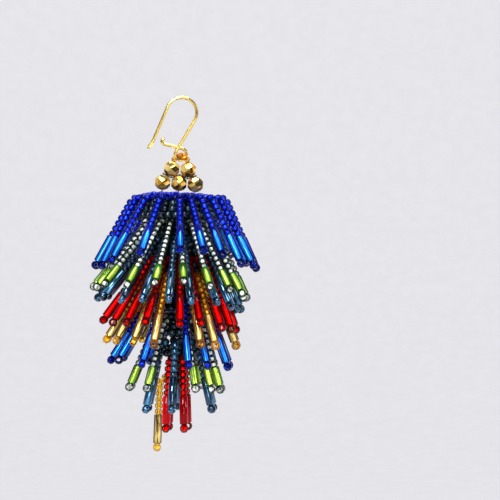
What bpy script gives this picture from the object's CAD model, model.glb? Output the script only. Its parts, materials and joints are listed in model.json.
"""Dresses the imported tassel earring: gold wire and faceted beads, and every strand bead by bead."""

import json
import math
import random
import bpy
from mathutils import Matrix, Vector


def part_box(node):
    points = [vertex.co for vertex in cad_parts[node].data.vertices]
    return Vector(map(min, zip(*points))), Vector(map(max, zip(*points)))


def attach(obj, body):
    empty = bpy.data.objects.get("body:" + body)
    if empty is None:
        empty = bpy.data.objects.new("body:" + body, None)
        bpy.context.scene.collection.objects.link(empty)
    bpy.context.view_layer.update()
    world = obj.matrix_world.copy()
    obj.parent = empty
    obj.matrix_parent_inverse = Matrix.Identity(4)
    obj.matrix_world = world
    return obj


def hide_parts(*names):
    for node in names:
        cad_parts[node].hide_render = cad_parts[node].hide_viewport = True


bl_info = {
    "name": "Tassel Earring",
    "version": (1, 0, 0),
    "blender": (4, 5, 0),
    "location": "View3D > Sidebar > Earring",
    "description": "Builds the looks of a beaded tassel earring round its packed frame",
    "category": "Object",
}

from typing import NamedTuple

import bmesh
import bpy
from mathutils import Matrix, Vector

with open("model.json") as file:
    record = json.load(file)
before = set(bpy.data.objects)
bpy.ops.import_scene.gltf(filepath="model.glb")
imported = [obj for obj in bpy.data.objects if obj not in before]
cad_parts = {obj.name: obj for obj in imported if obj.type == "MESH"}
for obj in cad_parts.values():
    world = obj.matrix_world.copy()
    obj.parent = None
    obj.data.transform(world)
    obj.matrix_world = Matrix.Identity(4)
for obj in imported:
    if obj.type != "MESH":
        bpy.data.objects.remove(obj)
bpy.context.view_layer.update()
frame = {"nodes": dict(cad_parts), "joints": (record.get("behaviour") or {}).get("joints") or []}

MM = 0.001
DROP = "drop"
HINGE = Vector(frame["joints"][0]["pos_m"])
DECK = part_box("tier_1_cobalt")[1].z
STEM_LOW, STEM_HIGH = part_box("stem")
STEM_X = (STEM_LOW.x + STEM_HIGH.x) / 2


class Tier(NamedTuple):
    """One tier of the fringe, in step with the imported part."""
    # Node that it replaces
    node: str
    # Glass of its bugles, of its seed beads and of its end beads
    glasses: tuple
    # Root below the top, as a share of FRINGE_DROP
    root: float
    # Radius where its strands bend down, as a share of CAP_R
    start: float
    # Radius of that bend, as a share of BEND_R
    bend: float
    # Seed beads on a strand at the front and back, and at the sides
    front_seeds: int
    side_seeds: int
    long_bugles: bool
    # Flare from upright at the left, at the front and back, and at the right, in degrees
    left_flare: float
    front_flare: float
    right_flare: float
    # Azimuths of the front strands, in degrees; those at the back hang between them
    azimuths: tuple


TIERS = [
    Tier("tier_1_cobalt", ("cobalt", "royal", "navy"), 0, 1, 0.8, 7, 8, True, 28, 43, 24,
         (-82, -65, -45, -23, 2, 16, 30, 46, 62, 80)),
    Tier("tier_2_green", ("lime", "clear", "clear"), 0.13, 0.635, 1, 11, 11, False, 40, 45, 24,
         (-90, -73, -54, -34, -14, 4, 22, 39, 56, 73, 90)),
    Tier("tier_3_steel", ("steel", "slate", "steel"), 0.23, 0.643, 1, 8, 8, True, 41, 39, 21,
         (-82, -64, -44, -25, -6, 10, 30, 48, 65, 81)),
    Tier("tier_4_red", ("ruby", "ruby", "ruby"), 0.337, 0.618, 1, 8, 8, True, 35, 34, 18,
         (-82, -62, -43, -25, 2, 18, 42, 60, 82)),
    Tier("tier_5_gold", ("honey", "amber", "amber"), 0.431, 0.618, 1, 8, 8, True, 34, 28, 21,
         (-80, -58, -38, -21, 20, 36, 70)),
    Tier("tier_6_cobalt", ("cobalt", "royal", "navy"), 0.547, 0.508, 1, 8, 8, True, 35, 28, 21,
         (-80, -58, -34, 10, 29, 60)),
    Tier("tier_7_green", ("lime", "clear", "clear"), 0.685, 0.394, 1, 9, 9, False, 22, 23, 16,
         (-72, -38, 20, 44, 68)),
    Tier("tier_8_steel", ("steel", "steel", "steel"), 0.801, 0.327, 1, 7, 7, True, 15, 18, 14,
         (-57, -9, 56)),
    Tier("tier_9_red", ("garnet", "ruby", "ruby"), 0.891, 0.289, 0.8, 7, 7, True, 6, 6, 6,
         (-30, 12)),
    Tier("tier_10_gold", ("honey", "amber", "amber"), 1, 0.269, 0.8, 7, 7, True, 4, 4, 4,
         (-90,)),
]

# Sizes of the fringe in millimetres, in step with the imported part. From the first tier's root
# down to the last one's
FRINGE_DROP = 44.8
# Radius where the first tier's strands bend down, and full radius of that bend
CAP_R = 10.4
BEND_R = 2.5
# Height of a collar, and radius of the stem at its foot
COLLAR_H = 2.35
STEM_FOOT_R = 1.7
# How far a strand's flare strays from its tier's, in degrees, as a wave round the tier: its
# waves in a full turn, and its shift from tier to tier in degrees
STRAY = 1.5
STRAY_WAVES = 7
STRAY_SHIFT = 100
# Turn of the strands at the middle of the back, in degrees
BACK_TURN = 6
# Distance of the end bead's middle past the bugle, as a share of its diameter
END_OUT = 0.45

# Length of a seed bead as a share of its pitch, of an end bead and a loop bead as a share of
# their diameters, and the holes of the last two as shares of a seed bead's hole and of the width
SEED_FILL = 0.95
END_LENGTH = 0.72
LOOP_LENGTH = 0.78
END_HOLE = 1.05
LOOP_HOLE = 0.45
# A seed bead has six corners, and those at its two ends lie inwards by this share of its radius
CORNER_IN = 0.13
# Bevel of a bugle's rim in millimetres, and the angle past which an edge stays sharp
RIM = 0.12
SHARP = math.radians(50)
# What counts as a bead's end, as a share of its length from the middle, as its outer rim, as a
# share of its diameter from the middle, and as its hole, in millimetres past the hole's radius
AT_END = 0.45
AT_RIM = 0.49
HOLE_SLACK = 0.02
# How far a seed bead tilts off its thread, as the spread of its heading
BEAD_TILT = 0.05
# A bead's spin about its hole is drawn from 0 to this, which is near enough a full turn
FULL_SPIN = 6.28
# First numbers of the random draws
FRINGE_DRAW = 40
INNER_DRAW = 80
STEM_DRAW = 7
LOOP_DRAW = 3

# Room for each bead of a ring, and for each of a row of the stem, as a share of its diameter
RING_ROOM = 1.02
STEM_ROOM = 0.9
# Least distance from the stem's surface out to the middle of a cap's ring, in millimetres
CAP_GAP = 0.3
# Rings on top of the stem, in millimetres: how far the first lies further in than a bead's
# width from the edge, and the least radius
TOP_IN = 0.1
TOP_LEAST = 0.6
# How far the beads on top stand above the deck, in millimetres: the least, the gain for each
# millimetre to the left of RISE_FROM and the most, from which the sag at the cap's edge and a
# random part are then taken
RISE_LEAST = 0.12
RISE_GAIN = 0.05
RISE_FROM = 5
RISE_MOST = 0.6
RISE_SAG = 0.8
RISE_STRAY = 0.3

# Dark rows of beads under the caps, in millimetres: the first row's drop below the middle of the
# collar, the drop from row to row, and the slope of their holes in radians
DARK_DROP = 1.4
DARK_STEP = 1.5
DARK_SLOPE = 1.1
# Those of the first tier: their number, how far inside CAP_R the first lies, and how much
# further out each next one lies
SKIRT_ROWS = 3
SKIRT_IN = 1.6
SKIRT_SPREAD = 0.7
# Those of the lower tiers: the tiers that have them, their number, how far the first stands out
# from the stem's surface, and how much further out the next one does
INNER_TIERS = TIERS[1:8]
INNER_ROWS = 2
INNER_OUT = 0.7
INNER_SPREAD = 0.4

# The bead loop's path in millimetres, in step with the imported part. Diameters of the ear wire
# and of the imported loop's rod, and the gap between the two
WIRE_D = 0.8
LOOP_ROD_D = 1.2
LOOP_GAP = 0.2
# How far it bows forwards on its right half and backwards on its left half
LOOP_BOW = 1.8
# Share of half a wave that the bow has made at a foot
LOOP_WRAP = 0.75
# How far its feet reach sideways, as a share of half the pitch of the gold beads
LOOP_REACH = 0.8
# Power of the way sideways: a higher one keeps the two halves together for longer
LOOP_SPREAD = 1.6
# From the hinge down to the middle of the upper gold beads, and the lean of the head
HEAD_DROP = 2.3
HEAD_TILT = math.radians(4)
# Height of a gold bead, and distance between the middles of two in a row
GOLD_H = 3.8
GOLD_PITCH = 4.1
# Steps of the path on each side of the eye
LOOP_STEPS = 200

# Glass walls. Columns: colour at the edges, tint face on, share of the wall's own colour face on,
# where less than 0 keeps the middle clear further out, and how fast it rises to the edges
WALLS = {
    "cobalt": ((0.001, 0.003, 0.07), (0.6, 0.8, 1.0), -1.5, 19.0),
    "royal": ((0.001, 0.002, 0.06), (0.5, 0.6, 1.0), -0.1, 5.5),
    "navy": ((0.001, 0.002, 0.05), (0.5, 0.6, 1.0), 0.1, 5.0),
    "crown": ((0.004, 0.009, 0.17), (0.5, 0.6, 1.0), 0.6, 3.0),
    "lime": ((0.014, 0.055, 0.006), (0.92, 1.0, 0.75), -0.35, 6.5),
    "clear": ((0.008, 0.015, 0.012), (0.95, 0.98, 0.95), -0.1, 4.2),
    "ruby": ((0.06, 0.0008, 0.0015), (1.0, 0.35, 0.3), -0.9, 18.0),
    "garnet": ((0.30, 0.002, 0.006), (0.7, 0.02, 0.03), 0.45, 2.6),
    "honey": ((0.13, 0.05, 0.006), (1.0, 0.93, 0.70), -0.45, 8.0),
    "amber": ((0.30, 0.11, 0.008), (1.0, 0.88, 0.50), -0.1, 2.8),
}

# Opaque walls with a metallic coat. Columns: dark colour, bright colour
COATS = {
    "steel": ((0.004, 0.020, 0.045), (0.032, 0.115, 0.205)),
    "slate": ((0.002, 0.01, 0.025), (0.01, 0.055, 0.115)),
    "dusk": ((0.002, 0.006, 0.012), (0.012, 0.035, 0.05)),
}

# Linings of the holes. Columns: bright colour, dark colour, how metallic, where the ramp leaves
# the dark colour and reaches the bright one, and how fine the streaks are
LININGS = {
    "cobalt": ((0.10, 0.47, 1.0), (0.01, 0.05, 0.62), 0.6, (0.27, 0.5), 2.6),
    "royal": ((0.06, 0.17, 0.95), (0.008, 0.01, 0.35), 0.6, (0.27, 0.5), 2.6),
    "navy": ((0.03, 0.10, 0.8), (0.002, 0.003, 0.05), 0.6, (0.42, 0.56), 2.6),
    "crown": ((0.04, 0.12, 0.8), (0.004, 0.006, 0.2), 0.6, (0.27, 0.5), 2.6),
    "lime": ((0.68, 0.86, 0.24), (0.22, 0.42, 0.06), 0.6, (0.27, 0.5), 2.6),
    "clear": ((1.0, 1.0, 0.95), (0.05, 0.08, 0.06), 0.25, (0.33, 0.45), 2.6),
    "steel": ((0.05, 0.12, 0.2), (0.01, 0.03, 0.05), 0.6, (0.27, 0.5), 2.6),
    "slate": ((0.03, 0.07, 0.12), (0.006, 0.02, 0.03), 0.6, (0.27, 0.5), 2.6),
    "dusk": ((0.01, 0.02, 0.03), (0.003, 0.006, 0.01), 0.6, (0.27, 0.5), 2.6),
    "ruby": ((1.0, 0.03, 0.05), (0.50, 0.005, 0.012), 0.6, (0.27, 0.5), 2.6),
    "garnet": ((0.16, 0.004, 0.006), (0.02, 0.001, 0.001), 0.3, (0.27, 0.5), 2.6),
    "honey": ((1.0, 0.92, 0.58), (0.05, 0.018, 0.003), 0.3, (0.37, 0.43), 1.4),
    "amber": ((1.0, 0.76, 0.24), (0.36, 0.10, 0.008), 0.4, (0.36, 0.48), 1.3),
}

# The stage, in metres: side of the floor and its height, the Y past which a point is on the
# floor's back edge, height of the backdrop, and the radius and steps of the sweep between them
FLOOR_SIZE = 2.4
FLOOR_Z = -0.16
BACK_Y = 1
BACKDROP_H = 1.6
SWEEP_R = 0.4
SWEEP_STEPS = 16
# Area lights. Columns: name, place, size, power in watts
LIGHTS = (
    ("key", (-0.30, -0.70, 0.50), 0.28, 9),
    ("front", (0.10, -0.95, 0.0), 0.50, 4),
    ("overhead", (0.05, -0.12, 0.55), 0.40, 4),
    ("side", (0.75, -0.25, 0.25), 0.25, 3),
)
LIGHT_AIM = Vector((0, 0, -0.045))
# The room: colour and strength of its light on the earring, and its colour for the camera
ROOM_COLOUR = (0.86, 0.88, 0.95, 1)
ROOM_STRENGTH = 0.16
ROOM_SHOWN = (0.74, 0.74, 0.78, 1)
# The camera: its X and Z and the width that it sees at the earring, all in metres, and its lens
# and sensor in millimetres
CAMERA_X = 0.01708
CAMERA_Z = -0.03768
VIEW_WIDTH = 0.125
LENS = 250
SENSOR = 36


class EarringSizes(bpy.types.PropertyGroup):
    """Sizes of the beads, in millimetres"""
    seed_d: bpy.props.FloatProperty(
        name="Seed bead", description="Diameter of a fringe seed bead", default=1.93, min=1, max=2)
    seed_pitch: bpy.props.FloatProperty(
        name="Seed pitch", description="Length that a seed bead takes up on its thread",
        default=1.5, min=1, max=2)
    seed_hole: bpy.props.FloatProperty(
        name="Seed hole", description="Diameter of the lined hole", default=0.95, min=0.4, max=1.4)
    bugle_d: bpy.props.FloatProperty(
        name="Bugle bead", description="Diameter of a bugle bead", default=2.12, min=1, max=2.4)
    bugle_hole: bpy.props.FloatProperty(
        name="Bugle hole", description="Diameter of its lined hole", default=1.35, min=0.4, max=1.8)
    bugle_long: bpy.props.FloatProperty(
        name="Long bugle", description="Length of a long bugle bead", default=7.1, min=4, max=9)
    bugle_short: bpy.props.FloatProperty(
        name="Short bugle", description="Length of a short bugle bead", default=4.6, min=3, max=6)
    end_d: bpy.props.FloatProperty(
        name="End bead", description="Diameter of the bead across a strand's end",
        default=2.2, min=1, max=2.4)
    loop_d: bpy.props.FloatProperty(
        name="Loop bead", description="Diameter of a seed bead in the loop",
        default=1.45, min=0.8, max=1.5)


class EarringColours(bpy.types.PropertyGroup):
    """Colours of the metals, the thread and the stage"""
    gold: bpy.props.FloatVectorProperty(
        name="Gold wire", description="Colour of the ear wire", subtype="COLOR", size=3,
        default=(0.70, 0.53, 0.16), min=0, max=1)
    bead_gold: bpy.props.FloatVectorProperty(
        name="Bead gold", description="Metal coat of the faceted beads", subtype="COLOR", size=3,
        default=(0.85, 0.58, 0.16), min=0, max=1)
    bead_dark: bpy.props.FloatVectorProperty(
        name="Bead glass", description="Bare dark glass of the faceted beads", subtype="COLOR",
        size=3, default=(0.045, 0.035, 0.012), min=0, max=1)
    thread: bpy.props.FloatVectorProperty(
        name="Thread", description="Colour of the beading thread", subtype="COLOR", size=3,
        default=(0.10, 0.05, 0.014), min=0, max=1)
    stage: bpy.props.FloatVectorProperty(
        name="Stage", description="Colour of the floor and backdrop", subtype="COLOR", size=3,
        default=(0.25, 0.25, 0.26), min=0, max=1)


def deselect_all():
    """Leaves edit mode and selects nothing."""
    if bpy.context.object and bpy.context.object.mode != "OBJECT":
        bpy.ops.object.mode_set(mode="OBJECT")
    bpy.ops.object.select_all(action="DESELECT")


def sizes():
    """The add-on's sizes, as the panel shows them."""
    return bpy.context.scene.earring_sizes


def colours():
    """The add-on's colours, as the panel shows them."""
    return bpy.context.scene.earring_colours


class Sock:
    """A shader socket that takes part in Python expressions."""

    def __init__(self, tree, socket):
        self.tree = tree
        self.socket = socket

    def math(self, operation, *values):
        return self.tree.node("ShaderNodeMath", {"operation": operation}, dict(enumerate(values)))

    def __add__(self, other):
        return self.math("ADD", self, other)

    def __radd__(self, other):
        return self.math("ADD", other, self)

    def __sub__(self, other):
        return self.math("SUBTRACT", self, other)

    def __rsub__(self, other):
        return self.math("SUBTRACT", other, self)

    def __mul__(self, other):
        return self.math("MULTIPLY", self, other)

    def __rmul__(self, other):
        return self.math("MULTIPLY", other, self)


class Tree:
    """The node tree of a new material."""

    def __init__(self, name):
        self.material = bpy.data.materials.new(name)
        self.material.use_nodes = True
        self.nodes = self.material.node_tree.nodes
        self.links = self.material.node_tree.links
        self.nodes.clear()

    def node(self, kind, settings=None, inputs=None, out=0):
        """Adds a node, applies its settings, then sets or links its sockets."""
        made = self.nodes.new(kind)
        for key, value in (settings or {}).items():
            if key == "stops":
                ramp = made.color_ramp
                while len(ramp.elements) < len(value):
                    ramp.elements.new(0.5)
                for element, (place, colour) in zip(ramp.elements, value):
                    element.position = place
                    element.color = (*colour, 1)
            else:
                setattr(made, key, value)
        for key, value in (inputs or {}).items():
            if isinstance(value, Sock):
                self.links.new(value.socket, made.inputs[key])
            else:
                made.inputs[key].default_value = value
        return Sock(self, made.outputs[out])

    def attribute(self, name, out):
        """A mesh attribute: out is 1 for its vector and 2 for its number."""
        return self.node("ShaderNodeAttribute", {"attribute_name": name}, out=out)

    def bump(self, strength, distance, height):
        """A bump of the surface, whose distance is in metres."""
        return self.node("ShaderNodeBump", inputs={
            "Strength": strength, "Distance": distance, "Height": height})

    def finish(self, shader):
        """Links a shader to the material's surface."""
        output = self.nodes.new("ShaderNodeOutputMaterial")
        self.links.new(shader.socket, output.inputs["Surface"])
        return self.material


def lining(name, bright, dark, metal, edges, fine):
    """The lining of a bead's hole: bright metal, streaked along the bead and finely ribbed."""
    tree = Tree(name)
    place = tree.attribute("bead", 1)
    tone = tree.attribute("tone", 2)
    stretched = tree.node("ShaderNodeMapping", inputs={"Vector": place, "Scale": (fine, fine, 0.15)})
    streaks = tree.node("ShaderNodeTexNoise", inputs={"Vector": stretched, "Scale": 2.0})
    ribs = tree.node("ShaderNodeTexWave", {"bands_direction": "Z"},
                     {"Vector": place, "Scale": 1.4, "Distortion": 1.0}, out=1)
    mask = streaks * 1.1 + tone * 0.2 + ribs * 0.2 - 0.3
    colour = tree.node("ShaderNodeValToRGB", {"stops": [(edges[0], dark), (edges[1], bright)]},
                       {0: mask})
    shader = tree.node("ShaderNodeBsdfPrincipled", inputs={
        "Base Color": colour, "Metallic": metal, "Roughness": 0.32 - tone * 0.12,
        "Normal": tree.bump(0.25, 0.00005, ribs)})
    return tree.finish(shader)


def glass(name, deep, tint, base, rise):
    """Coloured glass wall: tinted and see-through face on, deep in colour towards its edges."""
    tree = Tree(name)
    tone = tree.attribute("tone", 2)
    facing = tree.node("ShaderNodeLayerWeight", inputs={"Blend": 0.5}, out=1)
    place = tree.attribute("bead", 1)
    swirl = tree.node("ShaderNodeTexNoise", inputs={"Vector": place, "Scale": 1.1})
    lighter = [min(1, 2.2 * c) for c in deep]
    colour = tree.node("ShaderNodeValToRGB", {"stops": [(0.2, deep), (0.9, lighter)]},
                       {0: tone * 0.7 + swirl * 0.4 - 0.1})
    body = tree.node("ShaderNodeBsdfPrincipled", inputs={
        "Base Color": colour, "Roughness": 0.07 + tone * 0.08, "IOR": 1.52,
        "Specular IOR Level": 0.3, "Coat Weight": 0.05, "Normal": tree.bump(0.12, 0.00004, swirl)})
    through = tree.node("ShaderNodeBsdfTransparent", inputs={"Color": (*tint, 1)})
    share = tree.node("ShaderNodeClamp", inputs={"Value": facing * facing * rise + base})
    shader = tree.node("ShaderNodeMixShader", inputs={0: share, 1: through, 2: body})
    return tree.finish(shader)


def metallic_glass(name, deep, bright):
    """Opaque glass with a metallic coat, streaked along the bead, as on the steel blue beads."""
    tree = Tree(name)
    tone = tree.attribute("tone", 2)
    place = tree.attribute("bead", 1)
    stretched = tree.node("ShaderNodeMapping", inputs={"Vector": place, "Scale": (1.5, 1.5, 0.08)})
    cloud = tree.node("ShaderNodeTexNoise", inputs={"Vector": stretched, "Scale": 1.8})
    pale = [2.1 * c + 0.01 for c in bright]
    colour = tree.node("ShaderNodeValToRGB", {"stops": [(0.38, deep), (0.50, bright), (0.68, pale)]},
                       {0: cloud * 1.2 + tone * 0.2 - 0.27})
    shader = tree.node("ShaderNodeBsdfPrincipled", inputs={
        "Base Color": colour, "Metallic": 0.6, "Roughness": 0.1 + cloud * 0.05,
        "Coat Weight": 0.6, "Normal": tree.bump(0.01, 0.00004, cloud)})
    return tree.finish(shader)


GLASSES = {}


def bead_materials(kind):
    """The outer and the lining material of a kind of bead, made once."""
    if kind not in GLASSES:
        if kind in COATS:
            wall = metallic_glass(kind + "_wall", *COATS[kind])
        else:
            wall = glass(kind + "_wall", *WALLS[kind])
        GLASSES[kind] = (wall, lining(kind + "_lining", *LININGS[kind]))
    return GLASSES[kind]


def gold_wire_material():
    """Polished gold wire, a little uneven in colour and gloss."""
    tree = Tree("polished_gold_wire")
    place = tree.node("ShaderNodeTexCoord", out=3)
    grain = tree.node("ShaderNodeTexNoise", inputs={"Vector": place, "Scale": 900.0})
    patches = tree.node("ShaderNodeTexNoise", inputs={"Vector": place, "Scale": 260.0})
    gold = colours().gold
    paler = [min(1, 1.15 * c) for c in gold]
    colour = tree.node("ShaderNodeValToRGB", {"stops": [(0.3, gold), (0.7, paler)]}, {0: patches})
    shader = tree.node("ShaderNodeBsdfPrincipled", inputs={
        "Base Color": colour, "Metallic": 1.0, "Roughness": 0.14 + patches * 0.16,
        "Normal": tree.bump(0.08, 0.00005, grain)})
    return tree.finish(shader)


def faceted_material():
    """Gold coat on some facets and dark olive glass on others, in patches that follow them."""
    tree = Tree("faceted_gold_glass")
    way = tree.node("ShaderNodeTexCoord", out=1)
    place = tree.node("ShaderNodeTexCoord", out=3)
    spot = tree.node("ShaderNodeVectorMath", {"operation": "MULTIPLY_ADD"},
                     {0: place, 1: (150.0,) * 3, 2: way})
    facet = tree.node("ShaderNodeTexNoise", inputs={"Vector": spot, "Scale": 2.6, "Detail": 1.0})
    cloud = tree.node("ShaderNodeTexNoise", inputs={"Vector": place, "Scale": 420.0})
    mask = facet * 1.5 + cloud * 0.3 - 0.45
    dark = tuple(colours().bead_dark)
    amber = (0.70, 0.32, 0.04)
    gold = tuple(colours().bead_gold)
    pale = (0.95, 0.76, 0.30)
    colour = tree.node("ShaderNodeValToRGB", {"stops": [
        (0.34, dark), (0.41, amber), (0.48, gold), (0.66, pale)]}, {0: mask})
    metal = tree.node("ShaderNodeValToRGB", {"stops": [(0.34, (0.2,) * 3), (0.42, (0.75,) * 3)]},
                      {0: mask})
    shader = tree.node("ShaderNodeBsdfPrincipled", inputs={
        "Base Color": colour, "Metallic": metal, "Roughness": 0.12 + facet * 0.3,
        "Specular IOR Level": 0.15})
    return tree.finish(shader)


def thread_material():
    """Brown waxed thread with a fine twist."""
    tree = Tree("waxed_thread")
    place = tree.node("ShaderNodeTexCoord", out=3)
    twist = tree.node("ShaderNodeTexWave", {"bands_direction": "DIAGONAL"},
                      {"Vector": place, "Scale": 2600.0, "Distortion": 2.0}, out=1)
    base = tuple(colours().thread)
    lit = [2.2 * c + 0.01 for c in base]
    colour = tree.node("ShaderNodeValToRGB", {"stops": [(0.2, base), (0.8, lit)]}, {0: twist})
    shader = tree.node("ShaderNodeBsdfPrincipled", inputs={
        "Base Color": colour, "Roughness": 0.45 + twist * 0.2,
        "Normal": tree.bump(0.5, 0.00003, twist)})
    return tree.finish(shader)


def stage_material():
    """Pale matt floor and backdrop that glow a little, so that no hard shadow shows."""
    tree = Tree("pale_stage")
    place = tree.node("ShaderNodeTexCoord", out=3)
    nap = tree.node("ShaderNodeTexNoise", inputs={"Vector": place, "Scale": 160.0, "Detail": 4.0})
    base = tuple(colours().stage)
    lit = [min(1, c * 1.12) for c in base]
    colour = tree.node("ShaderNodeValToRGB", {"stops": [(0.3, base), (0.7, lit)]}, {0: nap})
    shader = tree.node("ShaderNodeBsdfPrincipled", inputs={
        "Base Color": colour, "Roughness": 0.9, "Normal": tree.bump(0.3, 0.001, nap),
        "Emission Color": (0.93, 0.92, 0.96, 1), "Emission Strength": 0.5})
    return tree.finish(shader)


def paint(node, material):
    """Gives a CAD node one material all over."""
    shown = frame["nodes"][node]
    shown.data.materials.clear()
    shown.data.materials.append(material)


def pick_faces(piece, wanted):
    """Selects in edit mode the faces that pass a test."""
    bm = bmesh.from_edit_mesh(piece.data)
    bpy.ops.mesh.select_all(action="DESELECT")
    for face in bm.faces:
        if wanted(face):
            face.select = True
    bmesh.update_edit_mesh(piece.data)


def pick_verts(piece, wanted):
    """Selects in edit mode the points that pass a test."""
    bm = bmesh.from_edit_mesh(piece.data)
    bpy.ops.mesh.select_all(action="DESELECT")
    for vertex in bm.verts:
        vertex.select = wanted(vertex.co)
    bm.select_flush(True)
    bmesh.update_edit_mesh(piece.data)


def pick_edges(piece, wanted):
    """Selects in edit mode the edges whose two ends pass a test."""
    bm = bmesh.from_edit_mesh(piece.data)
    bpy.ops.mesh.select_all(action="DESELECT")
    for edge in bm.edges:
        if wanted(edge.verts[0].co, edge.verts[1].co):
            edge.select = True
    bmesh.update_edit_mesh(piece.data)


def seed_template(d, length, hole, sides=10):
    """Models one seed bead round Z in millimetres: a six-cornered section spun round the hole.
    The corners at its two ends are drawn in towards the hole."""
    deselect_all()
    middle = (d + hole) / 4
    bpy.ops.mesh.primitive_circle_add(
        vertices=6, radius=1, location=(middle, 0, 0), rotation=(math.pi / 2, 0, 0))
    bead = bpy.context.object
    bpy.ops.object.transform_apply(location=True, rotation=True, scale=True)
    bpy.ops.object.mode_set(mode="EDIT")
    bpy.ops.mesh.select_all(action="SELECT")
    across = (d - hole) / 4 / math.cos(math.radians(30))
    bpy.ops.transform.resize(value=(across, 1, length / 2), center_override=(middle, 0, 0))
    bpy.ops.mesh.select_mode(type="VERT")
    pick_verts(bead, lambda point: abs(point.z) > length * AT_END)
    bpy.ops.transform.translate(value=(-CORNER_IN * d / 2, 0, 0))
    bpy.ops.mesh.select_all(action="SELECT")
    bpy.ops.mesh.spin(steps=sides, angle=2 * math.pi, center=(0, 0, 0), axis=(0, 0, 1))
    bpy.ops.mesh.select_all(action="SELECT")
    bpy.ops.mesh.remove_doubles(threshold=1e-5)
    bpy.ops.mesh.normals_make_consistent(inside=False)
    bpy.ops.object.mode_set(mode="OBJECT")
    return finish_template(bead, hole)


def bugle_template(d, length, hole, sides=12):
    """Models one bugle bead round Z in millimetres: a tube with a cut and eased rim."""
    deselect_all()
    bpy.ops.mesh.primitive_cylinder_add(vertices=sides, radius=d / 2, depth=length)
    bead = bpy.context.object
    bpy.ops.object.mode_set(mode="EDIT")
    bpy.ops.mesh.select_mode(type="FACE")
    pick_faces(bead, lambda face: abs(face.normal.z) > 0.9)
    bpy.ops.mesh.inset(thickness=(d - hole) / 2, depth=0)
    bpy.ops.mesh.bridge_edge_loops()
    bpy.ops.mesh.select_mode(type="EDGE")
    pick_edges(bead, lambda a, b: abs(a.z - b.z) < 1e-4 and a.xy.length > d * AT_RIM
               and b.xy.length > d * AT_RIM)
    bpy.ops.mesh.bevel(offset=RIM, segments=1)
    bpy.ops.mesh.select_all(action="SELECT")
    bpy.ops.mesh.normals_make_consistent(inside=False)
    bpy.ops.object.mode_set(mode="OBJECT")
    return finish_template(bead, hole)


def finish_template(bead, hole):
    """Shades the bead, marks its hole as lining and stores each point's place on the bead."""
    bpy.ops.object.shade_smooth_by_angle(angle=SHARP)
    mesh = bead.data
    for face in mesh.polygons:
        inner = Vector(face.center[:2]).length < hole / 2 + HOLE_SLACK
        face.material_index = 1 if inner else 0
    place = mesh.attributes.new("bead", "FLOAT_VECTOR", "POINT")
    for vertex in mesh.vertices:
        place.data[vertex.index].vector = vertex.co
    mesh.attributes.new("tone", "FLOAT", "POINT")
    return bead


def drop_templates(*templates):
    """Removes templates that have been copied to their places."""
    for template in templates:
        bpy.data.objects.remove(template)


def scatter(name, groups, draw):
    """Copies templates to many places in one mesh. Each group is a template, the kind of bead
    that it is, and a list of matrices in metres. Each copy gets a tone of its own."""
    kinds = list(dict.fromkeys(kind for template, kind, places in groups))
    joined = bmesh.new()
    joined.verts.layers.float.new("tone")
    joined.verts.layers.float_vector.new("bead")
    for template, kind, places in groups:
        slot = 2 * kinds.index(kind)
        for place in places:
            copy = template.data.copy()
            tone = draw.random()
            copy.attributes["tone"].data.foreach_set("value", [tone] * len(copy.vertices))
            copy.transform(place)
            for face in copy.polygons:
                face.material_index += slot
            joined.from_mesh(copy)
            bpy.data.meshes.remove(copy)
    mesh = bpy.data.meshes.new(name)
    joined.to_mesh(mesh)
    joined.free()
    for kind in kinds:
        for material in bead_materials(kind):
            mesh.materials.append(material)
    piece = bpy.data.objects.new(name, mesh)
    bpy.context.collection.objects.link(piece)
    return piece


def flare(tier, index, azimuth):
    """Flare of a strand from upright, in degrees, by its tier and azimuth."""
    s = math.sin(math.radians(azimuth))
    side = tier.left_flare if s < 0 else tier.right_flare
    wave = math.sin(math.radians(STRAY_WAVES * math.degrees(math.asin(s)) + STRAY_SHIFT * index))
    return tier.front_flare + (side - tier.front_flare) * s * s + STRAY * wave


def seed_count(tier, azimuth):
    """Seed beads on the strand at an azimuth."""
    sideways = math.sin(math.radians(azimuth)) ** 2
    return math.floor(tier.front_seeds + (tier.side_seeds - tier.front_seeds) * sideways + 0.5)


def collar_level(tier):
    """Height of the middle of a tier's collar."""
    return DECK - (tier.root * FRINGE_DROP + COLLAR_H / 2) * MM


def strand_frame(tier, lean, azimuth, back, along):
    """Place and heading at a length along a strand, in millimetres from where it bends."""
    bend_start, bend_r = tier.start * CAP_R, tier.bend * BEND_R
    turn = min(max(along / bend_r, 0), math.radians(90 - lean))
    past = along - turn * bend_r if along > 0 else along
    out = bend_start + bend_r * math.sin(turn) + past * math.cos(turn)
    down = bend_r * (1 - math.cos(turn)) + past * math.sin(turn)
    turned = azimuth + (BACK_TURN * math.cos(math.radians(azimuth)) if back else 0)
    angle = math.radians(turned)
    radial = Vector((math.sin(angle), math.cos(angle) if back else -math.cos(angle), 0))
    middle = Vector((STEM_X, HINGE.y, collar_level(tier)))
    place = middle + radial * out * MM - Vector((0, 0, down * MM))
    heading = radial * math.cos(turn) - Vector((0, 0, math.sin(turn)))
    return place, heading


def bead_matrix(place, heading, spin, side_on=False):
    """Matrix that puts a template on a thread: its hole runs along the thread or across it."""
    across = heading.orthogonal().normalized()
    turned = Matrix.Rotation(spin, 3, heading) @ across
    third = heading.cross(turned)
    columns = (third, heading, turned) if side_on else (turned, third, heading)
    turn = Matrix(columns).transposed().to_4x4()
    return Matrix.Translation(place) @ turn @ Matrix.Scale(MM, 4)


def stem_radius(depth):
    """Radius of the stem at a depth below the deck, in millimetres."""
    top = (STEM_HIGH.x - STEM_LOW.x) / 2 / MM
    length = (STEM_HIGH.z - STEM_LOW.z) / MM
    return top + (STEM_FOOT_R - top) * depth / length


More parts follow.
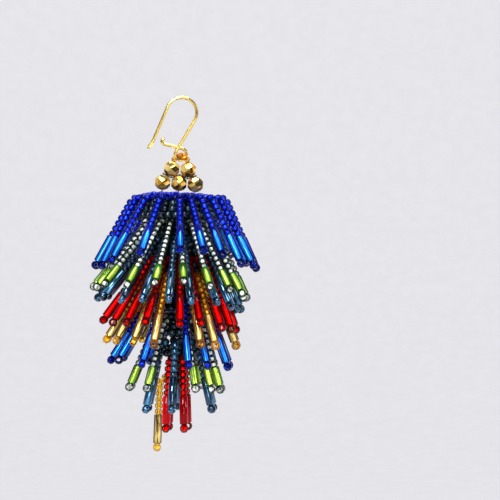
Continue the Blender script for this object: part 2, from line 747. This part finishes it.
def bead_ring(ring, level, slope, s, draw):
    """A ring of beads round the stem whose holes point outwards, and down by a slope in radians."""
    count = int(2 * math.pi * ring / (s.seed_d * RING_ROOM))
    start = draw.uniform(0, FULL_SPIN)
    places = []
    for k in range(count):
        angle = start + 2 * math.pi * k / count
        radial = Vector((math.cos(angle), math.sin(angle), 0))
        place = Vector((STEM_X, HINGE.y, level)) + radial * ring * MM
        heading = radial * math.cos(slope) - Vector((0, 0, math.sin(slope)))
        places.append(bead_matrix(place, heading, draw.uniform(0, FULL_SPIN)))
    return places


def rise_at(x, draw):
    """How far a cap bead stands above the deck, in millimetres: more at the left, where the
    leaning head leaves more room, and less towards the cap's edge."""
    out = (x - STEM_X) / MM
    sag = RISE_SAG * (abs(out) / CAP_R) ** 3
    rise = min(RISE_LEAST + RISE_GAIN * max(0, RISE_FROM - out), RISE_MOST)
    return rise - sag - draw.uniform(0, RISE_STRAY)


def raised(places, draw, above=0):
    """The places lifted by a height in millimetres and by what rise_at gives for each."""
    return [Matrix.Translation((0, 0, MM * (above + rise_at(place.translation.x, draw)))) @ place
            for place in places]


def dark_level(tier, k):
    """Height of the k-th dark row under a tier's cap."""
    return collar_level(tier) - (DARK_DROP + DARK_STEP * k) * MM


def loop_point(t):
    """A point of the bead loop's path: t is -1 at its left foot, 0 in the eye, 1 at the right."""
    top = (WIRE_D + LOOP_ROD_D) / 2 + LOOP_GAP
    foot = -HEAD_DROP + (GOLD_H + LOOP_ROD_D) / 2
    x = math.copysign(LOOP_REACH * GOLD_PITCH / 2 * abs(t) ** LOOP_SPREAD, t)
    y = -LOOP_BOW * math.sin(math.pi * LOOP_WRAP * t)
    z = top - (top - foot) * t * t
    return HINGE + MM * Vector((x * math.cos(HEAD_TILT) + z * math.sin(HEAD_TILT), y,
                                z * math.cos(HEAD_TILT) - x * math.sin(HEAD_TILT)))


class OBJECT_OT_earring_fringe(bpy.types.Operator):
    """Builds the ten tiers of strands bead by bead, with a cap of beads at the root of each"""
    bl_idname = "object.earring_fringe"
    bl_label = "Fringe tiers"

    def execute(self, context):
        s = sizes()
        seed = seed_template(s.seed_d, s.seed_pitch * SEED_FILL, s.seed_hole)
        long_bugle = bugle_template(s.bugle_d, s.bugle_long, s.bugle_hole)
        short_bugle = bugle_template(s.bugle_d, s.bugle_short, s.bugle_hole)
        end = seed_template(s.end_d, s.end_d * END_LENGTH, s.seed_hole * END_HOLE)
        for index, tier in enumerate(TIERS):
            draw = random.Random(FRINGE_DRAW + index)
            bugle = long_bugle if tier.long_bugles else short_bugle
            bugle_kind, seed_kind, end_kind = tier.glasses
            seeds, bugles, ends = self.strands(tier, index, s, draw)
            cap = self.cap(tier, s, draw)
            groups = [(bugle, bugle_kind, bugles), (seed, seed_kind, seeds), (end, end_kind, ends)]
            if tier is TIERS[0]:
                groups += [(seed, "crown", cap), (seed, "dusk", self.skirt(tier, s, draw))]
            else:
                groups.append((seed, seed_kind, cap))
            if tier in INNER_TIERS:
                inner = self.inner_rows(tier, s, random.Random(INNER_DRAW + index))
                groups.append((seed, "dusk", inner))
            piece = scatter("strands_" + tier.node, groups, draw)
            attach(piece, DROP)
            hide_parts(tier.node)
        drop_templates(seed, long_bugle, short_bugle, end)
        return {"FINISHED"}

    def strands(self, tier, index, s, draw):
        """Places of the seed beads, the bugles and the end beads on a tier's strands. A strand
        that hangs straight out at a side has no twin at the back."""
        length = s.bugle_long if tier.long_bugles else s.bugle_short
        seeds, bugles, ends = [], [], []
        for azimuth in tier.azimuths:
            lean = flare(tier, index, azimuth)
            count = seed_count(tier, azimuth)
            seeded = count * s.seed_pitch
            for back in ((False, True) if abs(azimuth) < 90 else (False,)):
                for k in range(count):
                    place, heading = strand_frame(
                        tier, lean, azimuth, back, (k + 0.5) * s.seed_pitch)
                    tilt = Vector([draw.gauss(0, BEAD_TILT) for _ in range(3)])
                    heading = (heading + tilt).normalized()
                    seeds.append(bead_matrix(place, heading, draw.uniform(0, FULL_SPIN)))
                place, heading = strand_frame(tier, lean, azimuth, back, seeded + length / 2)
                bugles.append(bead_matrix(place, heading, draw.uniform(0, FULL_SPIN)))
                place, heading = strand_frame(
                    tier, lean, azimuth, back, seeded + length + END_OUT * s.end_d)
                ends.append(bead_matrix(place, heading, draw.uniform(0, FULL_SPIN), True))
        return seeds, bugles, ends

    def cap(self, tier, s, draw):
        """Rings of beads stitched round the stem, their holes pointing outwards. Those of the
        first tier come up towards the gold beads."""
        places = []
        level = collar_level(tier)
        ring = tier.start * CAP_R - s.seed_pitch / 2
        while ring > stem_radius(tier.root * FRINGE_DROP) + CAP_GAP:
            ring_places = bead_ring(ring, level, 0, s, draw)
            if tier is TIERS[0]:
                ring_places = raised(ring_places, draw, (COLLAR_H - s.seed_d) / 2)
            places += ring_places
            ring -= s.seed_pitch
        return places

    def skirt(self, tier, s, draw):
        """Dark rows of beads under the first cap, inside its strands, that close the view
        between them."""
        places = []
        for k in range(SKIRT_ROWS):
            ring = CAP_R - SKIRT_IN + SKIRT_SPREAD * k
            places += bead_ring(ring, dark_level(tier, k), DARK_SLOPE, s, draw)
        return places

    def inner_rows(self, tier, s, draw):
        """Dark rows of beads close round the stem, under the cap of a lower tier."""
        places = []
        for k in range(INNER_ROWS):
            level = dark_level(tier, k)
            ring = stem_radius((DECK - level) / MM) + INNER_OUT + INNER_SPREAD * k
            places += bead_ring(ring, level, DARK_SLOPE, s, draw)
        return places


class OBJECT_OT_earring_stem(bpy.types.Operator):
    """Builds the stitched tube of dark beads inside the fringe, and the rings on top of it"""
    bl_idname = "object.earring_stem"
    bl_label = "Stem"

    def execute(self, context):
        s = sizes()
        seed = seed_template(s.seed_d, s.seed_pitch, s.seed_hole)
        draw = random.Random(STEM_DRAW)
        top, foot = STEM_HIGH.z, STEM_LOW.z
        rows = int((top - foot) / MM / s.seed_pitch)
        places, caps = [], []
        for k in range(rows):
            level = top - (k + 0.5) * s.seed_pitch * MM
            row_places = places if k else caps
            ring = stem_radius((top - level) / MM) - s.seed_d / 2
            count = max(3, int(2 * math.pi * ring / (s.seed_d * STEM_ROOM)))
            for j in range(count):
                angle = 2 * math.pi * (j + 0.5 * (k % 2)) / count
                spot = Vector((STEM_X + ring * MM * math.cos(angle),
                               HINGE.y + ring * MM * math.sin(angle), level))
                row_places.append(bead_matrix(
                    spot, Vector((0, 0, -1)), draw.uniform(0, FULL_SPIN)))
        ring = stem_radius(0) - s.seed_d - TOP_IN
        while ring > TOP_LEAST:
            caps += raised(bead_ring(ring, top - s.seed_d / 2 * MM, 0, s, draw), draw)
            ring -= s.seed_pitch
        piece = scatter("stem_beads", [(seed, "dusk", places), (seed, "crown", caps)], draw)
        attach(piece, DROP)
        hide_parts("stem")
        drop_templates(seed)
        return {"FINISHED"}


class OBJECT_OT_earring_loop(bpy.types.Operator):
    """Builds the loop of small seed beads that hangs in the eye of the wire"""
    bl_idname = "object.earring_loop"
    bl_label = "Bead loop"

    def execute(self, context):
        s = sizes()
        pitch = s.loop_d * LOOP_LENGTH
        seed = seed_template(s.loop_d, pitch, s.loop_d * LOOP_HOLE)
        path = [loop_point(k / LOOP_STEPS - 1) for k in range(2 * LOOP_STEPS + 1)]
        lengths = [0]
        for a, b in zip(path, path[1:]):
            lengths.append(lengths[-1] + (b - a).length / MM)
        count = round(lengths[-1] / pitch) + 1
        draw = random.Random(LOOP_DRAW)
        places = []
        for k in range(count):
            wanted = k * lengths[-1] / (count - 1)
            passed = sum(1 for length in lengths if length < wanted)
            i = max(min(passed, len(path) - 2), 1)
            heading = (path[i + 1] - path[i - 1]).normalized()
            places.append(bead_matrix(path[i], heading, draw.uniform(0, FULL_SPIN)))
        piece = scatter("loop_beads", [(seed, "amber", places)], draw)
        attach(piece, DROP)
        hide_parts("bead_loop")
        drop_templates(seed)
        return {"FINISHED"}


class OBJECT_OT_earring_metals(bpy.types.Operator):
    """Finishes the ear wire, the faceted beads and their thread"""
    bl_idname = "object.earring_metals"
    bl_label = "Wire and gold beads"

    def execute(self, context):
        paint("ear_wire", gold_wire_material())
        coat = faceted_material()
        for node in frame["nodes"]:
            if node.startswith("gold_bead"):
                paint(node, coat)
        paint("bead_thread", thread_material())
        return {"FINISHED"}


class OBJECT_OT_earring_stage(bpy.types.Operator):
    """Builds the pale floor and backdrop, the soft lights and the camera"""
    bl_idname = "object.earring_stage"
    bl_label = "Stage"

    def execute(self, context):
        self.sweep()
        for name, place, size, power in LIGHTS:
            self.light(name, place, size, power)
        context.scene.view_settings.view_transform = "Standard"
        context.scene.view_settings.look = "Medium High Contrast"
        world = bpy.data.worlds.new("pale_room")
        world.use_nodes = True
        self.room(world.node_tree)
        context.scene.world = world
        context.scene.camera = self.camera()
        return {"FINISHED"}

    def sweep(self):
        """A floor that curves up into the backdrop."""
        deselect_all()
        bpy.ops.mesh.primitive_plane_add(size=FLOOR_SIZE, location=(0, 0, FLOOR_Z))
        floor = bpy.context.object
        floor.name = "sweep"
        bpy.ops.object.transform_apply(location=True, rotation=True, scale=True)
        bpy.ops.object.mode_set(mode="EDIT")
        bpy.ops.mesh.select_mode(type="EDGE")
        pick_edges(floor, lambda a, b: a.y > BACK_Y and b.y > BACK_Y)
        bpy.ops.mesh.extrude_region_move(TRANSFORM_OT_translate={"value": (0, 0, BACKDROP_H)})
        pick_edges(floor, lambda a, b: a.y > BACK_Y and b.y > BACK_Y and a.z < 0 and b.z < 0)
        bpy.ops.mesh.bevel(offset=SWEEP_R, segments=SWEEP_STEPS)
        bpy.ops.mesh.select_all(action="SELECT")
        bpy.ops.mesh.normals_make_consistent(inside=True)
        bpy.ops.object.mode_set(mode="OBJECT")
        bpy.ops.object.shade_smooth()
        floor.data.materials.append(stage_material())

    def camera(self):
        """A camera that looks straight at the earring, as far off as its lens asks for."""
        data = bpy.data.cameras.new("photo_camera")
        data.lens = LENS
        data.sensor_width = SENSOR
        data.clip_start = 0.05
        data.clip_end = 20
        camera = bpy.data.objects.new("photo_camera", data)
        bpy.context.collection.objects.link(camera)
        distance = VIEW_WIDTH * data.lens / data.sensor_width
        camera.location = (CAMERA_X, HINGE.y - distance, CAMERA_Z)
        camera.rotation_euler = (math.pi / 2, 0, 0)
        return camera

    def room(self, tree):
        """A room that looks as pale as the backdrop, and lights the beads only a little."""
        dim = tree.nodes["Background"]
        dim.inputs["Color"].default_value = ROOM_COLOUR
        dim.inputs["Strength"].default_value = ROOM_STRENGTH
        pale = tree.nodes.new("ShaderNodeBackground")
        pale.inputs["Color"].default_value = ROOM_SHOWN
        path = tree.nodes.new("ShaderNodeLightPath")
        mix = tree.nodes.new("ShaderNodeMixShader")
        tree.links.new(path.outputs["Is Camera Ray"], mix.inputs[0])
        tree.links.new(dim.outputs[0], mix.inputs[1])
        tree.links.new(pale.outputs[0], mix.inputs[2])
        tree.links.new(mix.outputs[0], tree.nodes["World Output"].inputs["Surface"])

    def light(self, name, place, size, power):
        """A square area light that faces the earring."""
        data = bpy.data.lights.new(name, "AREA")
        data.size = size
        data.energy = power
        lamp = bpy.data.objects.new(name, data)
        lamp.location = place
        lamp.rotation_euler = (LIGHT_AIM - Vector(place)).to_track_quat("-Z", "Y").to_euler()
        bpy.context.collection.objects.link(lamp)


STEPS = (OBJECT_OT_earring_metals, OBJECT_OT_earring_loop, OBJECT_OT_earring_stem,
         OBJECT_OT_earring_fringe, OBJECT_OT_earring_stage)


class VIEW3D_PT_earring(bpy.types.Panel):
    """Lists the sizes, the colours and the steps of the earring"""
    bl_label = "Tassel Earring"
    bl_idname = "VIEW3D_PT_earring"
    bl_space_type = "VIEW_3D"
    bl_region_type = "UI"
    bl_category = "Earring"

    def draw(self, context):
        for group in (context.scene.earring_sizes, context.scene.earring_colours):
            box = self.layout.box()
            for key in group.__annotations__:
                box.prop(group, key)
        for step in STEPS:
            self.layout.operator(step.bl_idname)


CLASSES = (EarringSizes, EarringColours, *STEPS, VIEW3D_PT_earring)


def register():
    """Adds the sizes, the colours, the steps and the panel to Blender."""
    for cls in CLASSES:
        bpy.utils.register_class(cls)
    bpy.types.Scene.earring_sizes = bpy.props.PointerProperty(type=EarringSizes)
    bpy.types.Scene.earring_colours = bpy.props.PointerProperty(type=EarringColours)


def unregister():
    """Takes them out again."""
    del bpy.types.Scene.earring_colours
    del bpy.types.Scene.earring_sizes
    for cls in reversed(CLASSES):
        bpy.utils.unregister_class(cls)


def main():
    register()
    bpy.ops.object.earring_metals()
    bpy.ops.object.earring_loop()
    bpy.ops.object.earring_stem()
    bpy.ops.object.earring_fringe()
    bpy.ops.object.earring_stage()
    bpy.context.view_layer.update()


if __name__ == "__main__":
    main()
